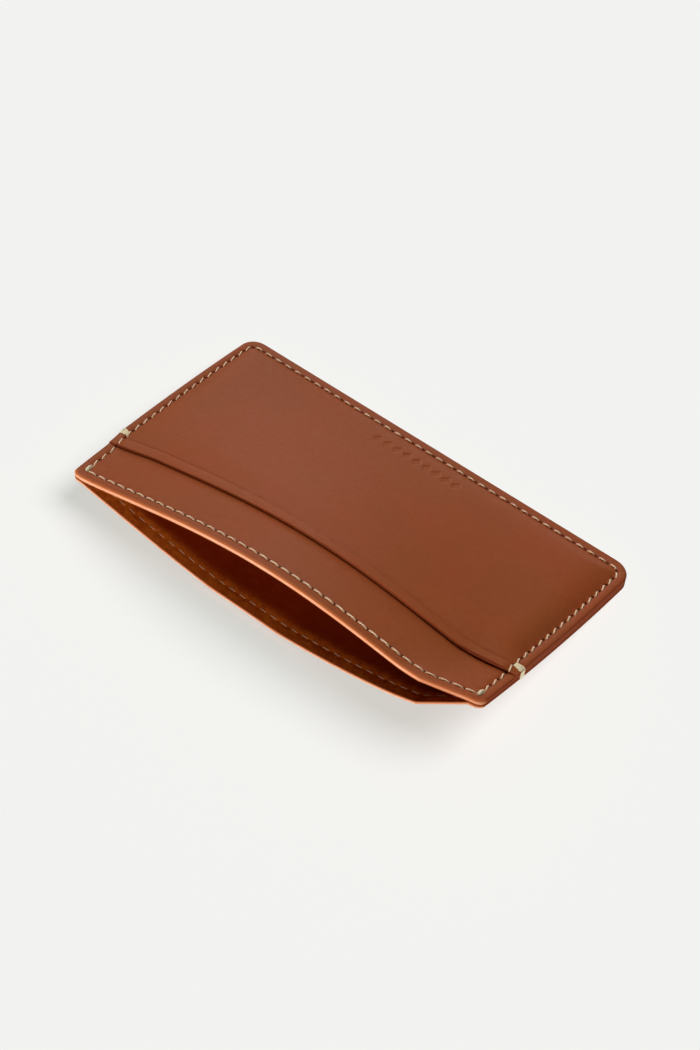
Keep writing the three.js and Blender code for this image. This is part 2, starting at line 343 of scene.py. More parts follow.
PERIMETER = perimeter_route()
MOUTH_ROW = mouth_route()
PERIMETER_MARKS = perimeter_marks(PERIMETER)
MOUTH_MARKS = even_marks(0, arc_lengths(MOUTH_ROW)[-1], STITCH)


# ---- Mesh helpers ---------------------------------------------------------------------

def mesh_object(name, points, faces, material, attributes):
    """A smooth-shaded mesh from points in millimetres, riding on the one body."""
    data = bpy.data.meshes.new(name)
    data.from_pydata((np.asarray(points) * MM).tolist(), [], faces)
    data.update()
    data.shade_smooth()
    for key, values in attributes.items():
        layer = data.attributes.new(key, "FLOAT", "POINT")
        layer.data.foreach_set("value", np.asarray(values, np.float32).ravel())
    data.materials.append(material)
    made = bpy.data.objects.new(name, data)
    bpy.context.scene.collection.objects.link(made)
    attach(made, "root")
    return made


RIM_STEPS = (0.0, 0.015, 0.06, 0.13, 0.22, 0.33, 0.46)


def spaced(low, high, spacing, fine=(), fine_spacing=0.15):
    """Positions from low to high: close at both rims and inside each fine range."""
    count = int(round((high - low) / spacing))
    even = np.linspace(low, high, count + 1)[1:-1]
    rims = [low + step for step in RIM_STEPS] + [high - step for step in RIM_STEPS]
    dense = []
    for start, end in fine:
        even = even[(even < start) | (even > end)]
        dense.extend(np.arange(start, end + fine_spacing / 2, fine_spacing))
    even = even[(even > low + RIM_STEPS[-1] + 0.1) & (even < high - RIM_STEPS[-1] - 0.1)]
    return np.unique(np.round(np.concatenate([rims, even, dense]), 4))


def round_off(distance, radius):
    """How far a rounded rim of this radius falls away, at this distance from the edge."""
    share = 1 - clamp01(distance / radius)
    return radius * (1 - np.sqrt(1 - share ** 2))


def grid_faces(columns, rows):
    """Faces of a closed sheet: upper skin, lower skin and the wall between their rims."""
    skin = columns * rows
    index = np.arange(skin).reshape(columns, rows)
    a, b = index[:-1, :-1].ravel(), index[1:, :-1].ravel()
    c, d = index[1:, 1:].ravel(), index[:-1, 1:].ravel()
    upper = np.stack([a, b, c, d], 1)
    lower = np.stack([a, d, c, b], 1) + skin
    rim = np.concatenate([index[:, 0], index[-1, 1:], index[-2::-1, -1], index[0, -2:0:-1]])
    after = np.roll(rim, -1)
    wall = np.stack([rim + skin, after + skin, after, rim], 1)
    return np.concatenate([upper, lower, wall]).tolist()


class Sheet:
    """Plan of a ply: its stations and rows, and how far each point is from what shapes it."""

    def __init__(self, edge, stations, row_positions):
        shares = (row_positions - row_positions[0]) / np.ptp(row_positions)
        x, share = np.meshgrid(stations, shares, indexing="ij")
        self.shape = x.shape
        self.x = x.ravel()
        front, back = edge(self.x), back_edge(self.x)
        self.y = front + share.ravel() * (back - front)
        self.from_front = (self.y - front) / self.front_slope(edge)
        self.from_rim = self.rim_distance(edge)

    def front_slope(self, edge):
        """Length of the front edge for each millimetre along X."""
        step = 0.01
        slope = (edge(self.x + step) - edge(self.x - step)) / (2 * step)
        return np.sqrt(1 + np.clip(slope, -1, 1) ** 2)

    def rim_distance(self, edge):
        span = np.linspace(0, math.pi / 2, 9)
        turn = np.concatenate([RIGHT_X - BACK_RADIUS_RIGHT * (1 - np.sin(span)), [RIGHT_X]])
        front_turn = RIGHT_X - MOUTH_RADIUS * (1 - np.sin(span))
        left_turn = RIGHT_X - BACK_RADIUS_LEFT * (1 - np.sin(span))
        back_x = np.unique(np.concatenate([-left_turn, turn]))
        front_x = np.unique(np.concatenate([-front_turn, [KINK_X], front_turn]))
        front = np.stack([front_x, edge(front_x)], 1)
        back = np.stack([back_x, back_edge(back_x)], 1)[::-1]
        outline = np.concatenate([front, back, front[:1]])
        signed, _ = nearest_on(outline, np.stack([self.x, self.y], 1))
        return np.abs(signed)

    def seam(self):
        """Signed distance to the nearer row of stitches, and the count of stitches there."""
        points = np.stack([self.x, self.y], 1)
        side_gap, side_reach = nearest_on(PERIMETER, points)
        row_gap, row_reach = nearest_on(MOUTH_ROW, points)
        side_count = np.interp(side_reach, PERIMETER_MARKS, np.arange(len(PERIMETER_MARKS)))
        row_count = np.interp(row_reach, MOUTH_MARKS, np.arange(len(MOUTH_MARKS)))
        nearer = np.abs(side_gap) < np.abs(row_gap)
        return np.where(nearer, side_gap, row_gap), np.where(nearer, side_count, row_count)


def sheet_object(name, plan, upper, lower, material, attributes):
    """A closed ply between two skins, given as heights at the plan's points."""
    x = draw_in(plan.x, plan.y)
    points = np.concatenate([np.stack([x, plan.y, upper], 1), np.stack([x, plan.y, lower], 1)])
    doubled = {key: np.concatenate([values, values]) for key, values in attributes.items()}
    return mesh_object(name, points, grid_faces(*plan.shape), material, doubled)


# ---- Relief ---------------------------------------------------------------------------

GROOVE_DEPTH = 0.16         # the thread draws the leather down along each row
GROOVE_WIDTH = 0.6
HOLE_DEPTH = 0.22           # and further down at each needle hole
HOLE_WIDTH = 0.38
FAINTER = 0.6               # relief underneath and inside, against that on top
CREASE_SETBACK = 2.4        # creased line behind the pocket's edge
CREASE_DEPTH = 0.16
CREASE_WIDTH = 0.24
ROLL_HEIGHT = 0.14          # the strip between crease and edge stands proud
SKIVE = 0.75                # the pocket panel is thinned at its two front corners
SKIVE_REACH = 5.0


def skive_share(x, y):
    """1 at the pocket panel's front corners, outside the side seams, and 0 away from them."""
    outside = smoothstep(SEAM_X - 1.2, RIGHT_X - 0.3, np.abs(x))
    return outside * (1 - smoothstep(0.5, SKIVE_REACH, y - pocket_edge(x)))


def seam_relief(gap, count):
    """Groove along a row of stitches, with a pit at each needle hole."""
    to_hole = (count - np.round(count)) * STITCH
    groove = GROOVE_DEPTH * ridge(gap, GROOVE_WIDTH)
    hole = HOLE_DEPTH * ridge(gap, HOLE_WIDTH) * ridge(to_hole, HOLE_WIDTH)
    return -(groove + hole)


# ---- Node helpers ---------------------------------------------------------------------

def srgb(red, green, blue):
    """Linear colour from display values of 0 to 255."""
    def linear(value):
        share = value / 255
        return share / 12.92 if share <= 0.04045 else ((share + 0.055) / 1.055) ** 2.4

    return (linear(red), linear(green), linear(blue), 1.0)


def new_material(name):
    made = bpy.data.materials.new(name)
    made.use_nodes = True
    return made, made.node_tree, made.node_tree.nodes["Principled BSDF"]


def connect(tree, value, socket):
    if isinstance(value, bpy.types.NodeSocket):
        tree.links.new(value, socket)
    else:
        socket.default_value = value


def maths(tree, operation, *values):
    node = tree.nodes.new("ShaderNodeMath")
    node.operation = operation
    for value, socket in zip(values, node.inputs):
        connect(tree, value, socket)
    return node.outputs[0]


def mix(tree, factor, first, second):
    node = tree.nodes.new("ShaderNodeMix")
    node.data_type = "RGBA"
    for value, socket in zip((factor, first, second), (node.inputs[0], node.inputs[6], node.inputs[7])):
        connect(tree, value, socket)
    return node.outputs[2]


def ramp(tree, value, low, high, to_low=0.0, to_high=1.0):
    node = tree.nodes.new("ShaderNodeMapRange")
    node.interpolation_type = "SMOOTHSTEP"
    for value_in, socket in zip((value, low, high, to_low, to_high), node.inputs):
        connect(tree, value_in, socket)
    return node.outputs[0]


def attribute(tree, name):
    node = tree.nodes.new("ShaderNodeAttribute")
    node.attribute_name = name
    return node.outputs["Fac"]


def noise(tree, scale, detail=3.0, roughness=0.5):
    place = tree.nodes.new("ShaderNodeTexCoord")
    node = tree.nodes.new("ShaderNodeTexNoise")
    tree.links.new(place.outputs["Object"], node.inputs["Vector"])
    for key, value in (("Scale", scale), ("Detail", detail), ("Roughness", roughness)):
        node.inputs[key].default_value = value
    return node.outputs["Fac"]


def cells(tree, scale):
    """Distance from the edges of small irregular cells."""
    place = tree.nodes.new("ShaderNodeTexCoord")
    node = tree.nodes.new("ShaderNodeTexVoronoi")
    node.feature = "DISTANCE_TO_EDGE"
    tree.links.new(place.outputs["Object"], node.inputs["Vector"])
    node.inputs["Scale"].default_value = scale
    return node.outputs["Distance"]


def bump(tree, height, distance, before=None):
    node = tree.nodes.new("ShaderNodeBump")
    node.inputs["Distance"].default_value = distance * MM
    tree.links.new(height, node.inputs["Height"])
    if before is not None:
        tree.links.new(before, node.inputs["Normal"])
    return node.outputs["Normal"]


HOLE_HALF_LENGTH = 0.46     # needle hole, in millimetres
HOLE_HALF_WIDTH = 0.26


def hole_shade_mask(tree):
    """1 inside each needle hole and 0 outside, from the seam attributes; it paints shade into the holes.
    """
    count = attribute(tree, "seam_count")
    gap = attribute(tree, "seam_gap")
    from_hole = maths(tree, "SUBTRACT", count, maths(tree, "ROUND", count))
    along = maths(tree, "MULTIPLY", from_hole, STITCH / HOLE_HALF_LENGTH)
    across = maths(tree, "MULTIPLY", gap, 1 / HOLE_HALF_WIDTH)
    far = maths(tree, "SQRT", maths(
        tree, "ADD", maths(tree, "MULTIPLY", along, along), maths(tree, "MULTIPLY", across, across)))
    return ramp(tree, far, 0.45, 1.25, 1.0, 0.0)


# ---- Finishes -------------------------------------------------------------------------

def tan_leather():
    """Smooth vegetable-tan leather: fine pores, faint cloudiness, burnished edges, and painted shade in
    the needle holes.
    """
    made, tree, shader = new_material("tan_leather")
    clouds = noise(tree, 45, 2.0)
    grain = noise(tree, 900, 4.0, 0.6)
    tone = mix(tree, ramp(tree, clouds, 0.35, 0.65), srgb(143, 68, 32), srgb(139, 70, 33))
    tone = mix(tree, ramp(tree, grain, 0.3, 0.8, 0.0, 0.3), tone, srgb(122, 56, 24))
    rim = attribute(tree, "rim")
    tone = mix(tree, rim, tone, srgb(134, 60, 28))
    warm = attribute(tree, "warm")
    tone = mix(tree, warm, tone, srgb(206, 108, 48))
    burnish = attribute(tree, "burnish")
    edge_tone = mix(tree, ramp(tree, noise(tree, 260, 3.0), 0.3, 0.7),
                    srgb(255, 186, 146), srgb(250, 168, 124))
    tone = mix(tree, burnish, tone, edge_tone)
    # Painted shade: each needle hole is coloured dark brown, on top of the pit that the bump presses in.
    hole = hole_shade_mask(tree)
    tone = mix(tree, hole, tone, srgb(80, 33, 12))
    tree.links.new(tone, shader.inputs["Base Color"])
    shine = ramp(tree, grain, 0.2, 0.8, 0.46, 0.56)
    shine = maths(tree, "ADD", shine, maths(tree, "MULTIPLY", rim, 0.4))
    tree.links.new(shine, shader.inputs["Roughness"])
    shader.inputs["Specular IOR Level"].default_value = 0.11
    waves = bump(tree, noise(tree, 110, 2.0), 0.06)
    pores = bump(tree, cells(tree, 2600), 0.012, waves)
    fine = bump(tree, grain, 0.02, pores)
    pit = bump(tree, maths(tree, "SUBTRACT", 1.0, hole), 0.12, fine)
    tree.links.new(pit, shader.inputs["Normal"])
    return made


def brown_suede():
    """Napped lining: short fibres lying in patches, with painted shade making it darker away from the
    mouth.
    """
    made, tree, shader = new_material("brown_suede")
    nap = noise(tree, 420, 5.0, 0.7)
    fibre = noise(tree, 2600, 3.0, 0.7)
    tone = mix(tree, ramp(tree, nap, 0.35, 0.7), srgb(160, 66, 16), srgb(198, 98, 28))
    tone = mix(tree, ramp(tree, fibre, 0.45, 0.75, 0.0, 0.5), tone, srgb(214, 124, 44))
    # Painted shade: darker and redder further inside the mouth, where the front panel shades the lining.
    tone = mix(tree, attribute(tree, "painted_inner_shade"), tone, srgb(112, 24, 4))
    tone = mix(tree, attribute(tree, "rim"), tone, srgb(132, 60, 32))
    burnish = attribute(tree, "burnish")
    tone = mix(tree, maths(tree, "MULTIPLY", burnish, 0.5), tone, srgb(214, 120, 66))
    tree.links.new(tone, shader.inputs["Base Color"])
    shader.inputs["Roughness"].default_value = 0.95
    shader.inputs["Specular IOR Level"].default_value = 0.0
    rough = bump(tree, nap, 0.12)
    tree.links.new(bump(tree, fibre, 0.08, rough), shader.inputs["Normal"])
    return made


def cream_thread():
    """Waxed, twisted thread, with painted highlight on top of each ply and painted shade between plies.
    """
    made, tree, shader = new_material("cream_thread")
    # Painted highlight on top of each ply and painted shade between the plies.
    ply_shading = attribute(tree, "ply_shading")
    fibre = noise(tree, 5200, 3.0, 0.7)
    tone = mix(tree, ramp(tree, ply_shading, 0.0, 1.0), srgb(186, 138, 98), srgb(246, 218, 180))
    tone = mix(tree, ramp(tree, fibre, 0.4, 0.8, 0.0, 0.4), tone, srgb(196, 160, 118))
    tone = mix(tree, attribute(tree, "pale"), tone, srgb(218, 208, 168))
    # Painted shade: the threads inside the mouth are coloured darker and browner.
    tone = mix(tree, attribute(tree, "tanned"), tone, srgb(170, 98, 44))
    tree.links.new(tone, shader.inputs["Base Color"])
    shader.inputs["Roughness"].default_value = 0.6
    shader.inputs["Sheen Weight"].default_value = 0.2
    tree.links.new(bump(tree, fibre, 0.03), shader.inputs["Normal"])
    return made


def pale_floor():
    made, tree, shader = new_material("pale_floor")
    shader.inputs["Roughness"].default_value = 0.9
    shader.inputs["Specular IOR Level"].default_value = 0.0
    shader.inputs["Base Color"].default_value = (0.5, 0.474, 0.487, 1)
    shader.inputs["Emission Color"].default_value = (0.862, 0.896, 0.85, 1)
    shader.inputs["Emission Strength"].default_value = 0.66
    return made


def pale_backdrop():
    made, tree, shader = new_material("pale_backdrop")
    shader.inputs["Specular IOR Level"].default_value = 0.0
    shader.inputs["Base Color"].default_value = (0, 0, 0, 1)
    shader.inputs["Emission Color"].default_value = (0.888, 0.896, 0.871, 1)
    shader.inputs["Emission Strength"].default_value = 1.0
    return made


LEATHER_FINISH = tan_leather()
SUEDE_FINISH = brown_suede()
THREAD_FINISH = cream_thread()


# ---- Plies ----------------------------------------------------------------------------

OUTER_RIM = 0.4             # rim radius on the outer faces,
COVERED_RIM = 0.03          # between plies,
LINING_RIM = 0.2            # and on the linings
POCKET_RIM = 0.5            # the pocket's own edge is a full round
POCKET_LOWER_RIM = 0.42
BURNISH_REACH = 0.16        # pale burnished edge at the mouth
WARM_REACH = 1.0            # leather thinned and warmed in tone behind it
RIM_REACH = 0.5
INNER_SHADE_MOST = 0.92              # painted shade: the linings are coloured darker over this stretch behind the mouth edge
INNER_SHADE_FROM = 2.4
INNER_SHADE_TO = 5.0

SEAM_BAND = 1.05            # closer rows and stations this far either side of a seam


def stations(spacing, seam_spacing=0.2, motif=()):
    """Places along X: closer at the side seams, round the corners and at the motif."""
    bands = [(-SEAM_X - SEAM_BAND, -SEAM_X + SEAM_BAND), (SEAM_X - SEAM_BAND, SEAM_X + SEAM_BAND)]
    found = spaced(-RIGHT_X, RIGHT_X, spacing, [*bands, *motif], seam_spacing)
    found[np.argmin(np.abs(found - KINK_X))] = KINK_X
    return found


def edge_marks(plan, edge_shows):
    """Attributes for the pale, warm mouth edge, the brown side rims, the holes and the painted shade
    inside.
    """
    cut = smoothstep(KINK_X - 1, KINK_X + 1, plan.x)
    burnish = (1 - smoothstep(BURNISH_REACH * 0.5, BURNISH_REACH, plan.from_front)) * edge_shows
    burnish *= 1 - 0.5 * cut
    warm = (0.75 - 0.2 * cut) * (1 - smoothstep(0.1, WARM_REACH, plan.from_front)) * edge_shows
    rim = 1 - smoothstep(0.1, RIM_REACH, plan.from_rim)
    gap, count = plan.seam()
    painted_inner_shade = INNER_SHADE_MOST * smoothstep(INNER_SHADE_FROM, INNER_SHADE_TO, plan.from_front)
    return {"painted_inner_shade": painted_inner_shade, "burnish": burnish, "warm": warm, "rim": rim,
            "seam_gap": gap, "seam_count": count}


def mouth_band():
    """Range of Y where the mouth row's relief needs closer rows."""
    row_y = MOUTH_Y + MOUTH_MARGIN
    return row_y - SEAM_BAND, row_y + SEAM_BAND


def back_band():
    return BACK_SEAM_Y - SEAM_BAND, BACK_SEAM_Y + SEAM_BAND


def back_panel():
    rows = spaced(MOUTH_Y, BACK_Y, 0.6, [mouth_band(), back_band()], 0.2)
    plan = Sheet(mouth_edge, stations(0.5), rows)
    marks = edge_marks(plan, 1.0)
    base = belly_height(plan.x, plan.y)
    relief = seam_relief(marks["seam_gap"], marks["seam_count"])
    lower = base + round_off(plan.from_rim, OUTER_RIM) - FAINTER * relief
    upper = base + LEATHER + PLY_GAP - GLUE_LINE - round_off(plan.from_rim, COVERED_RIM)
    made = sheet_object("back_panel_leather", plan, upper, lower, LEATHER_FINISH, marks)
    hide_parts("back_panel")


def lining(name, node, height_of, base, faces_up):
    """The suede layer on a height function's surface, base above it, with one skin in the slot."""
    rows = spaced(MOUTH_Y, BACK_Y, 0.9, [mouth_band()], 0.2)
    plan = Sheet(mouth_edge, stations(0.7, 0.3), rows)
    marks = edge_marks(plan, 1.0)
    floor = height_of(plan.x, plan.y) + base
    relief = FAINTER * seam_relief(marks["seam_gap"], marks["seam_count"])
    shown_rim = round_off(plan.from_rim, LINING_RIM)
    hidden_rim = round_off(plan.from_rim, COVERED_RIM)
    thickness = SUEDE + PLY_GAP - GLUE_LINE
    if faces_up:
        upper, lower = floor + thickness - shown_rim + relief, floor + hidden_rim
    else:
        upper, lower = floor + thickness - hidden_rim, floor + shown_rim - relief
    lower = np.minimum(lower, upper - COVERED_RIM)
    made = sheet_object(name, plan, upper, lower, SUEDE_FINISH, marks)
    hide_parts(node)


def front_panel():
    rows = spaced(MOUTH_Y, BACK_Y, 0.8, [(MOUTH_Y + 0.6, MOUTH_Y + 4.2)], 0.2)
    plan = Sheet(mouth_edge, stations(0.4), rows)
    marks = edge_marks(plan, 1.0)
    covered = smoothstep(-0.5, 0.5, plan.y - pocket_edge(plan.x))
    rim = OUTER_RIM + (COVERED_RIM - OUTER_RIM) * covered
    relief = seam_relief(marks["seam_gap"], marks["seam_count"]) * (1 - covered)
    base = front_height(plan.x, plan.y)
    upper = base + FRONT_TOP - round_off(plan.from_rim, rim) + relief
    lower = base + FRONT_BASE + round_off(plan.from_rim, COVERED_RIM)
    made = sheet_object("front_panel_leather", plan, upper, lower, LEATHER_FINISH, marks)
    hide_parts("front_panel")


# ---- Debossed motif: a row of plain lozenges --------------------------------------------

MOTIF_X = 1.0               # middle of the row
MOTIF_Y = BACK_SEAM_Y - 6.0
MOTIF_COUNT = 9
MOTIF_PITCH = 2.6
MOTIF_HALF_WIDTH = 0.95
MOTIF_HALF_HEIGHT = 1.35
MOTIF_DEPTH = 0.17
MOTIF_LINE = 0.28


def motif_relief(x, y):
    """Each lozenge is pressed in."""
    place = (x - MOTIF_X) / MOTIF_PITCH
    nearest = np.clip(np.round(place), -(MOTIF_COUNT // 2), MOTIF_COUNT // 2)
    along = np.abs(place - nearest) * MOTIF_PITCH / MOTIF_HALF_WIDTH
    across = np.abs(y - MOTIF_Y) / MOTIF_HALF_HEIGHT
    from_line = (along + across - 1) * MOTIF_HALF_WIDTH * 0.8
    return -MOTIF_DEPTH * (1 - smoothstep(0, MOTIF_LINE, from_line))


def pocket_panel():
    half = MOTIF_COUNT / 2 * MOTIF_PITCH
    motif = [(MOTIF_X - half, MOTIF_X + half)]
    rows = spaced(POCKET_Y, BACK_Y, 0.4, [
        (POCKET_Y + 1.6, POCKET_Y + 3.2),
        (MOTIF_Y - MOTIF_HALF_HEIGHT - 0.3, MOTIF_Y + MOTIF_HALF_HEIGHT + 0.3),
        back_band()], 0.16)
    plan = Sheet(pocket_edge, stations(0.4, 0.2, motif), rows)
    marks = edge_marks(plan, 0.0)
    relief = seam_relief(marks["seam_gap"], marks["seam_count"])
    away_from_seam = smoothstep(0.3, 1.5, SEAM_X - np.abs(plan.x))
    crease = CREASE_DEPTH * ridge(plan.from_front - CREASE_SETBACK, CREASE_WIDTH)
    roll = ROLL_HEIGHT * np.sin(math.pi * clamp01(plan.from_front / CREASE_SETBACK))
    relief += (roll - crease) * away_from_seam
    relief += motif_relief(plan.x, plan.y)
    base = pocket_height(plan.x, plan.y)
    skived = skive_share(plan.x, plan.y)
    upper_rim = POCKET_RIM - (POCKET_RIM - 0.12) * skived
    upper = base + POCKET_TOP - SKIVE * skived - round_off(plan.from_rim, upper_rim) + relief
    at_front = (1 - smoothstep(0.4, 0.9, plan.from_front)) * (1 - skived)
    lower_rim = COVERED_RIM + (POCKET_LOWER_RIM - COVERED_RIM) * at_front
    lower = base + POCKET_BASE + round_off(plan.from_rim, lower_rim)
    made = sheet_object("pocket_panel_leather", plan, upper, lower, LEATHER_FINISH, marks)
    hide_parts("pocket_panel")


# ---- Thread -----------------------------------------------------------------------------

THREAD_SIDES = 12
THREAD_LOBES = 3
LOBE_DEPTH = 0.13
TWIST = 5.0                 # radians for each millimetre of thread
STANDS_PROUD = 0.42         # a stitch's middle lies this share of its diameter above the leather
BLUNT = 1.02                # a little over 1, so that a tube ends in a small flat


class Strands:
    """Collects twisted tubes, each a closed island, into one mesh."""

    def __init__(self):
        self.points = []
        self.faces = []
        self.ply_shadings = []
        self.count = 0

    def add(self, path, side, diameter):
        """A tube round path; side is a direction that stays square to the path."""
        path = np.asarray(path, float)
        side = np.asarray(side, float) / np.linalg.norm(side)
        tangent = np.gradient(path, axis=0)
        tangent /= np.linalg.norm(tangent, axis=1)[:, None]
        normal = np.cross(side, tangent)
        reach = np.concatenate([[0], np.cumsum(np.linalg.norm(np.diff(path, axis=0), axis=1))])
        angle = np.linspace(0, 2 * math.pi, THREAD_SIDES, endpoint=False)
        lobe = np.cos(THREAD_LOBES * (angle[None, :] - TWIST * reach[:, None] / THREAD_LOBES))
        taper = np.sqrt(clamp01(BLUNT - np.abs(np.linspace(-1, 1, len(path))) ** 12))
        radius = diameter / 2 * (1 + LOBE_DEPTH * (lobe - 1) / 2) * taper[:, None]
        ring = (np.cos(angle)[None, :, None] * side[None, None, :]
                + np.sin(angle)[None, :, None] * normal[:, None, :])
        points = path[:, None, :] + radius[:, :, None] * ring
        first = self.count
        self.points.append(points.reshape(-1, 3))
        # Share for the painted highlight on top of each ply and the painted shade between them.
        self.ply_shadings.append(((lobe + 1) / 2).ravel())
        rings = len(path)
        for i in range(rings - 1):
            for k in range(THREAD_SIDES):
                a = first + i * THREAD_SIDES + k
                b = first + i * THREAD_SIDES + (k + 1) % THREAD_SIDES
                self.faces.append((a, b, b + THREAD_SIDES, a + THREAD_SIDES))
        self.faces.append(tuple(first + k for k in reversed(range(THREAD_SIDES))))
        last = first + (rings - 1) * THREAD_SIDES
        self.faces.append(tuple(last + k for k in range(THREAD_SIDES)))
        self.count += rings * THREAD_SIDES

    def finish(self, name, node, pale=0.0, tanned=0.0):
        ply_shading = np.concatenate(self.ply_shadings)
        made = mesh_object(name, np.concatenate(self.points), self.faces, THREAD_FINISH,
                           {"ply_shading": ply_shading, "pale": np.full_like(ply_shading, pale),
                            "tanned": np.full_like(ply_shading, tanned)})
        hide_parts(node)


def point_along(route, reach):
    lengths = arc_lengths(route)
    return np.stack([np.interp(reach, lengths, route[:, 0]), np.interp(reach, lengths, route[:, 1])], -1)


def sew(strands, route, marks, surface, diameter, slant, cover, flat, up=1, sink=0.42):
    """One tube for each stitch of a row: out of its hole, over the leather and into the next."""
    share = np.linspace(0, 1, 17)
    for start, end in zip(marks[:-1], marks[1:]):
        pitch = end - start
        place = start + pitch * (0.5 + cover * (share - 0.5))
        xy = point_along(route, place)
        run = point_along(route, end) - point_along(route, start)
        run /= np.linalg.norm(run)
        across = np.array([-run[1], run[0]])
        xy = xy + across * (math.tan(slant) * pitch * cover * (share - 0.5))[:, None]
        arch = 1 - np.abs(2 * share - 1) ** flat
        height = surface(xy[:, 0], xy[:, 1]) + up * (arch * (sink + STANDS_PROUD * diameter) - sink)
        path = np.stack([draw_in(xy[:, 0], xy[:, 1]), xy[:, 1], height], 1)
        direction = path[-1] - path[0]
        strands.add(path, (-direction[1], direction[0], 0), diameter)


def stack_top(x, y):
    """The sewn rows' own level: front panel near the mouth, pocket panel behind its edge."""
    on_pocket = smoothstep(-0.6, 0.4, y - pocket_edge(x))
    front = front_height(x, y) + FRONT_TOP
    pocket = pocket_height(x, y) + POCKET_TOP - SKIVE * skive_share(x, y)
    return front + (pocket - front) * on_pocket - GROOVE_DEPTH


def stack_bottom(x, y):
    return belly_height(x, y) + FAINTER * GROOVE_DEPTH


def front_top(x, y):
    return front_height(x, y) + FRONT_TOP - GROOVE_DEPTH


def front_inside(x, y):
    return front_height(x, y) + FRONT_LINING_BASE + FAINTER * GROOVE_DEPTH


def back_inside(x, y):
    return belly_height(x, y) + BACK_LINING_BASE + SUEDE + PLY_GAP - FAINTER * GROOVE_DEPTH


SIDE_SLANT = math.radians(18)
BACK_SLANT = math.radians(-3)
MOUTH_SLANT = math.radians(-4)
BACK_COVER = 0.64           # share of the pitch that a stitch covers: along the back,
MOUTH_COVER = 0.92          # along the mouth,
OTHER_COVER = 0.74          # and on the sides and inside


def perimeter_seam():
    """The row round three sides: slanted stitches on the sides, straighter ones along the back."""
    places = point_along(PERIMETER, PERIMETER_MARKS)
    corners = [np.argmin(np.abs(places - (side * SEAM_X, BACK_SEAM_Y)).sum(axis=1))
               for side in (-1, 1)]
    parts = [(0, corners[0], SIDE_SLANT), (corners[0], corners[1], BACK_SLANT),
             (corners[1], len(PERIMETER_MARKS) - 1, SIDE_SLANT)]
    top = Strands()
    under = Strands()
    for first, last, slant in parts:
        marks = PERIMETER_MARKS[first:last + 1]
        along_back = slant == BACK_SLANT
        cover = BACK_COVER if along_back else OTHER_COVER
        thread = BACK_THREAD if along_back else NEEDLE_THREAD
        sew(top, PERIMETER, marks, stack_top, thread, slant, cover, 3.0)
        sew(under, PERIMETER, marks, stack_bottom, BOBBIN_THREAD, -slant, 0.9, 4.0, up=-1, sink=0.3)
    top.finish("perimeter_stitches_top", "perimeter_needle_thread")
    under.finish("perimeter_stitches_under", "perimeter_bobbin_thread")


def mouth_seams():
    rows = [
        ("front_mouth_stitches_top", "front_mouth_needle_thread", front_top, MOUTH_THREAD, 1),
        ("front_mouth_stitches_inside", "front_mouth_bobbin_thread", front_inside, BOBBIN_THREAD, -1),
        ("back_mouth_stitches_inside", "back_mouth_bobbin_thread", back_inside, BOBBIN_THREAD, 1),
        ("back_mouth_stitches_under", "back_mouth_needle_thread", stack_bottom, BOBBIN_THREAD, -1)]
    for name, node, surface, diameter, up in rows:
        strands = Strands()
        on_top = surface == front_top
        cover = MOUTH_COVER if on_top else OTHER_COVER
        sink = 0.4 if on_top else 0.25
        sew(strands, MOUTH_ROW, MOUTH_MARKS, surface, diameter, MOUTH_SLANT * up, cover, 2.6, up, sink)
        # The rows inside the mouth get painted shade.
        strands.finish(name, node, tanned=0.6 if "inside" in name else 0.0)


# ---- Tacks ------------------------------------------------------------------------------

TACK_BEHIND_EDGE = {"left": 3.8, "right": 2.7}      # middle of each, behind the pocket's edge
TACK_TURNS = 4
TACK_SPREAD_INNER = 0.20    # strand spacing at the seam and round the edge
TACK_SPREAD_OUTER = 0.40
TACK_THREAD = 0.40
TACK_CORNER = 0.55          # radius of the strands' bend over the side edge
MOUTH_TACK_LENGTH = 2.1
MOUTH_TACK_STRANDS = ((-0.24, 0.0, 0.5), (0.24, 0.0, 0.5), (0.02, 0.3, 0.52))  # offset, lift, diameter


def pocket_tack(side, word):
    """Strands that come up at the seam, wrap the side edge and go back in underneath."""
    strands = Strands()
    middle = float(pocket_edge(side * SEAM_X)) + TACK_BEHIND_EDGE[word]
    radius = TACK_THREAD / 2
    outer = RIGHT_X - radius * 0.4
    corner = TACK_CORNER
    for turn in range(TACK_TURNS):
        offset = turn - (TACK_TURNS - 1) / 2
        lift = 0.06 * (turn % 2)
        top = POCKET_TOP + radius * 0.45 + lift
        bottom = -radius * 0.6 - lift
        profile = [(SEAM_X - 0.15, top - 0.75), (SEAM_X, top - 0.35), (SEAM_X + 0.3, top - 0.06),
                   (SEAM_X + 0.8, top)]
        for angle in np.linspace(math.pi / 2, 0, 6):
            profile.append((outer - corner + corner * math.cos(angle),
                            top - corner + corner * math.sin(angle)))
        for angle in np.linspace(0, -math.pi / 2, 6):
            profile.append((outer - corner + corner * math.cos(angle),
                            bottom + corner + corner * math.sin(angle)))
        profile += [(SEAM_X + 0.8, bottom), (SEAM_X + 0.3, bottom + 0.06), (SEAM_X, bottom + 0.3),
                    (SEAM_X - 0.1, bottom + 0.6)]
        profile = np.array(profile)
        spread = TACK_SPREAD_INNER + (TACK_SPREAD_OUTER - TACK_SPREAD_INNER) * clamp01(
            (profile[:, 0] - SEAM_X) / SIDE_MARGIN)
        y = middle + offset * spread
        x = side * profile[:, 0]
        skived = SKIVE * skive_share(x, y) * (profile[:, 1] > POCKET_BASE)
        height = stack_height(x, y) + profile[:, 1] - skived
        path = np.stack([draw_in(x, y), y, height], 1)
        strands.add(path, (0, 1, 0), TACK_THREAD)
    strands.finish(f"pocket_tack_strands_{word}", f"pocket_tack_{word}", pale=0.8)


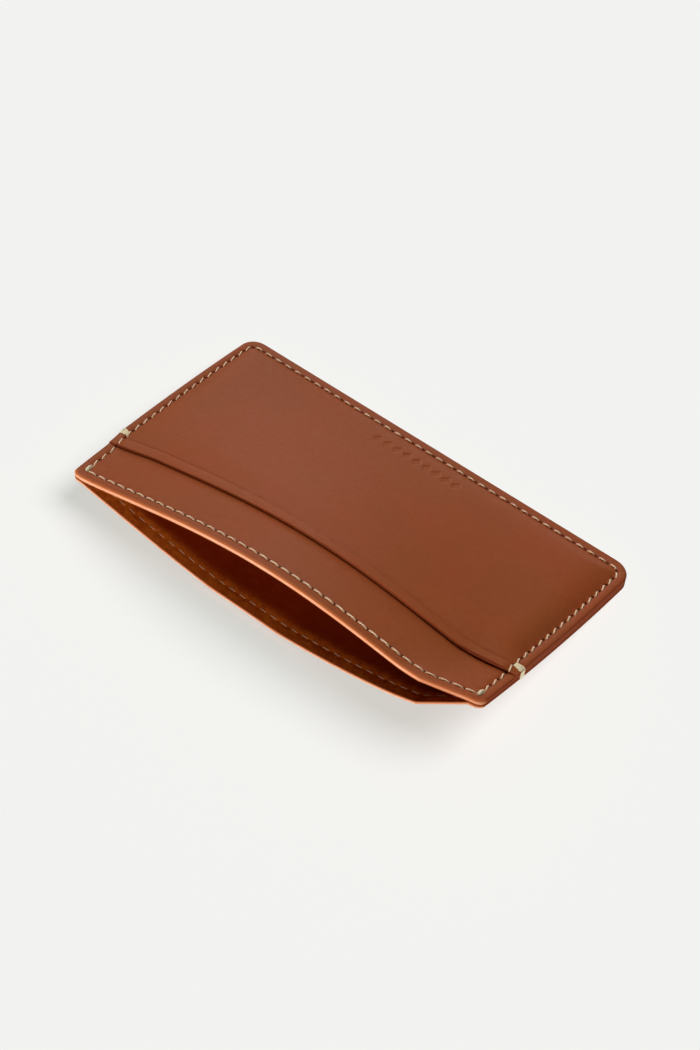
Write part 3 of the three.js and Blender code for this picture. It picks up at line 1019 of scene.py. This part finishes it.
def mouth_tack(side, word):
    """Two strands side by side and one over them, where a side row meets the mouth row."""
    strands = Strands()
    start = float(mouth_edge(side * SEAM_X)) + MOUTH_MARGIN - 0.35
    share = np.linspace(0, 1, 15)
    arch = 1 - np.abs(2 * share - 1) ** 3
    for offset, raised, diameter in MOUTH_TACK_STRANDS:
        y = start + MOUTH_TACK_LENGTH * share
        x = side * SEAM_X + offset * arch
        height = front_top(x, y) - 0.4 + arch * (0.58 + raised)
        path = np.stack([draw_in(x, y), y, height], 1)
        strands.add(path, (1, 0, 0), diameter)
    strands.finish(f"mouth_tack_strands_{word}", f"mouth_tack_{word}", pale=0.7)


# ---- Stage, light and camera --------------------------------------------------------------

CAMERA_AZIMUTH = 35.32
CAMERA_ELEVATION = 51.21
CAMERA_ROLL = 4.0
CAMERA_DISTANCE = 0.40083
CAMERA_LENS = 65.36
CAMERA_SENSOR = 36.0
AIM_RISE = 0.00695          # tangent: the view's middle lies this much above the holder's origin


def toward(azimuth, elevation):
    """Unit vector from the origin to a place at this azimuth, round from -Y, and elevation."""
    a, e = math.radians(azimuth), math.radians(elevation)
    return Vector((math.sin(a) * math.cos(e), -math.cos(a) * math.cos(e), math.sin(e)))


def camera():
    data = bpy.data.cameras.new("camera")
    data.lens = CAMERA_LENS
    data.sensor_width = CAMERA_SENSOR
    data.clip_start, data.clip_end = 0.01, 10
    made = bpy.data.objects.new("camera", data)
    bpy.context.scene.collection.objects.link(made)
    back = toward(CAMERA_AZIMUTH, CAMERA_ELEVATION)
    right = (-back).cross(Vector((0, 0, 1))).normalized()
    up = right.cross(-back)
    roll = math.radians(CAMERA_ROLL)
    across = right * math.cos(roll) + up * math.sin(roll)
    rise = up * math.cos(roll) - right * math.sin(roll)
    look = (-back + rise * AIM_RISE).normalized()
    rise = across.cross(look)
    axes = Matrix((across, rise, -look)).transposed().to_4x4()
    made.matrix_world = Matrix.Translation(back * CAMERA_DISTANCE) @ axes
    bpy.context.scene.camera = made


def sun(name, azimuth, elevation, strength, softness):
    data = bpy.data.lights.new(name, "SUN")
    data.energy = strength
    data.angle = math.radians(softness)
    made = bpy.data.objects.new(name, data)
    bpy.context.scene.collection.objects.link(made)
    made.rotation_mode = "QUATERNION"
    made.rotation_quaternion = toward(azimuth, elevation).to_track_quat("Z", "Y")
    return made


def light_only(name, settings, pieces):
    """A sun that lights these pieces and nothing else."""
    group = bpy.data.collections.new(f"lit_by_{name}")
    for piece in pieces:
        group.objects.link(piece)
    sun(name, *settings).light_linking.receiver_collection = group


def lights(floor):
    """Suns, each for its own pieces: azimuth, elevation, strength and softness of each."""
    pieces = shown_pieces()
    inner = [piece for piece in pieces if "lining" in piece.name or "inside" in piece.name]
    outer = [piece for piece in pieces if piece not in inner]
    light_only("key", (250, 60, 2.33, 24), pieces)
    light_only("back_light", (215, 42, 0.4, 24), pieces)
    light_only("skimming_light", (215, 20, 0.45, 24), pieces)
    light_only("floor_light", (128, 56, 2.25, 40), [floor])
    light_only("mouth_light", (40, 24, 2.1, 30), inner)
    light_only("front_light", (28, 8, 2.2, 20), outer)
    ambient()


def ambient():
    world = bpy.data.worlds.new("studio")
    world.use_nodes = True
    world.node_tree.nodes["Background"].inputs["Color"].default_value = (1.0, 0.995, 0.985, 1)
    world.node_tree.nodes["Background"].inputs["Strength"].default_value = 0.05
    bpy.context.scene.world = world


STAGE_HALF = 1.5            # metres
BACKDROP_HEIGHT = 2.0


def stage_piece(name, corners, faces, finish):
    """A plain mesh in metres, which isn't part of the holder."""
    data = bpy.data.meshes.new(name)
    data.from_pydata(corners, [], faces)
    data.materials.append(finish)
    made = bpy.data.objects.new(name, data)
    bpy.context.scene.collection.objects.link(made)
    made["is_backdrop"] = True
    return made


def stage():
    """A floor, and a pale backdrop that only the camera sees: it casts no light and no shadow."""
    plan = [(-STAGE_HALF, -STAGE_HALF), (STAGE_HALF, -STAGE_HALF), (STAGE_HALF, STAGE_HALF),
            (-STAGE_HALF, STAGE_HALF)]
    bottom = [(x, y, 0) for x, y in plan]
    top = [(x, y, BACKDROP_HEIGHT) for x, y in plan]
    walls = [(k, (k + 1) % 4, (k + 1) % 4 + 4, k + 4) for k in range(4)]
    backdrop = stage_piece("backdrop", bottom + top, walls + [(4, 5, 6, 7)], pale_backdrop())
    for ray in ("diffuse", "glossy", "transmission", "volume_scatter", "shadow"):
        setattr(backdrop, f"visible_{ray}", False)
    return stage_piece("floor", bottom, [(0, 1, 2, 3)], pale_floor())


# ---- Assembly -----------------------------------------------------------------------------

back_panel()
lining("back_lining_suede", "back_lining", belly_height, BACK_LINING_BASE, True)
lining("front_lining_suede", "front_lining", front_height, FRONT_LINING_BASE, False)
front_panel()
pocket_panel()
perimeter_seam()
mouth_seams()
for side, word in ((-1, "left"), (1, "right")):
    pocket_tack(side, word)
    mouth_tack(side, word)
camera()
lights(stage())
bpy.context.scene.view_settings.view_transform = "Standard"
